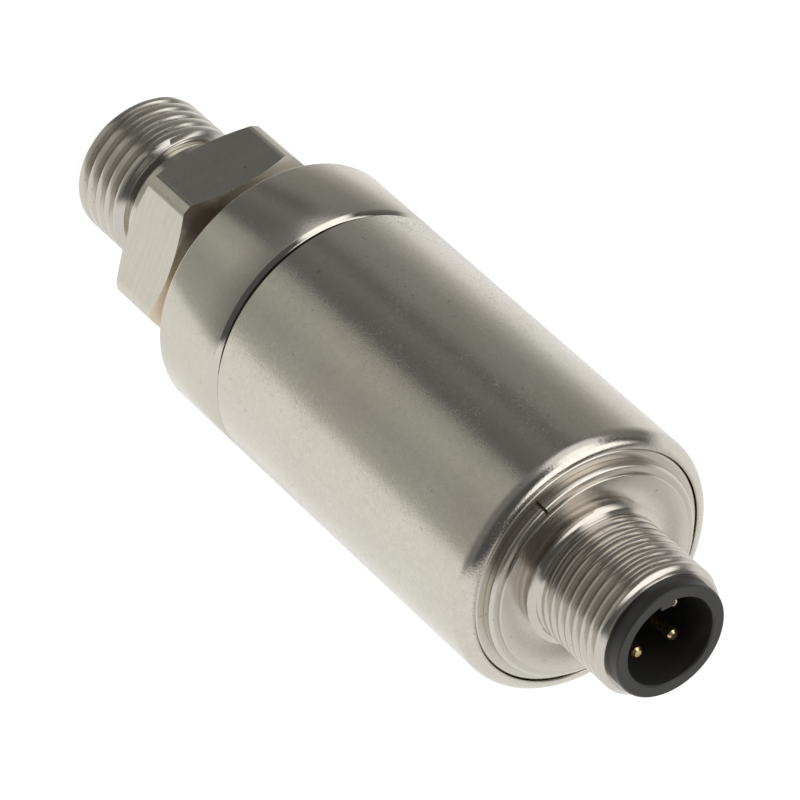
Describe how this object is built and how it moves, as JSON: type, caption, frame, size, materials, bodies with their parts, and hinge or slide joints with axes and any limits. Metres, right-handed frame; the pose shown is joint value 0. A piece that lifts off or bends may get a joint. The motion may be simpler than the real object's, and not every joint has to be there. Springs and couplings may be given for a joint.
{
  "type": "pressure transmitter",
  "caption": "Stainless pressure transmitter with a threaded process fitting and hexagon at one end and a round four-pin threaded connector at the other.",
  "frame": {"origin": "centre of the end face of the process thread", "axes": "+Z along the common axis towards the connector, +X square to one flat of the hexagon"},
  "size_m": [0.024, 0.024, 0.077],
  "materials": {
    "stainless_steel": "satin",
    "seal_rubber": "matte",
    "cell_ceramic": "satin",
    "black_plastic": "matte",
    "holder_plastic": "matte",
    "board_laminate": "satin",
    "package_plastic": "matte",
    "gold_plated_brass": "polished",
    "lead_insulation": "satin"
  },
  "bodies": {
    "root": {"process_fitting": "stainless_steel", "cell_collar": "stainless_steel", "housing_tube": "stainless_steel", "connector_plate": "stainless_steel", "closing_ring": "stainless_steel", "split_ring": "stainless_steel", "lock_ring": "stainless_steel", "cell_seal": "seal_rubber", "plate_seal": "seal_rubber", "insert_seal": "seal_rubber", "cell_diaphragm": "cell_ceramic", "cell_base": "cell_ceramic", "connector_insert": "black_plastic", "backing_ring": "black_plastic", "board_holder": "holder_plastic", "circuit_board": "board_laminate", "signal_chip": "package_plastic", "regulator_chip": "package_plastic", "output_chip": "package_plastic", "memory_chip": "package_plastic", "filter_capacitor": "package_plastic", "protection_diode": "package_plastic", "contact_pin_1": "gold_plated_brass", "cell_lead_1": "gold_plated_brass", "pin_lead_1": "lead_insulation", "contact_pin_2": "gold_plated_brass", "cell_lead_2": "gold_plated_brass", "pin_lead_2": "lead_insulation", "contact_pin_3": "gold_plated_brass", "cell_lead_3": "gold_plated_brass", "pin_lead_3": "lead_insulation", "contact_pin_4": "gold_plated_brass", "cell_lead_4": "gold_plated_brass", "pin_lead_4": "lead_insulation"}
  },
  "joints": []
}
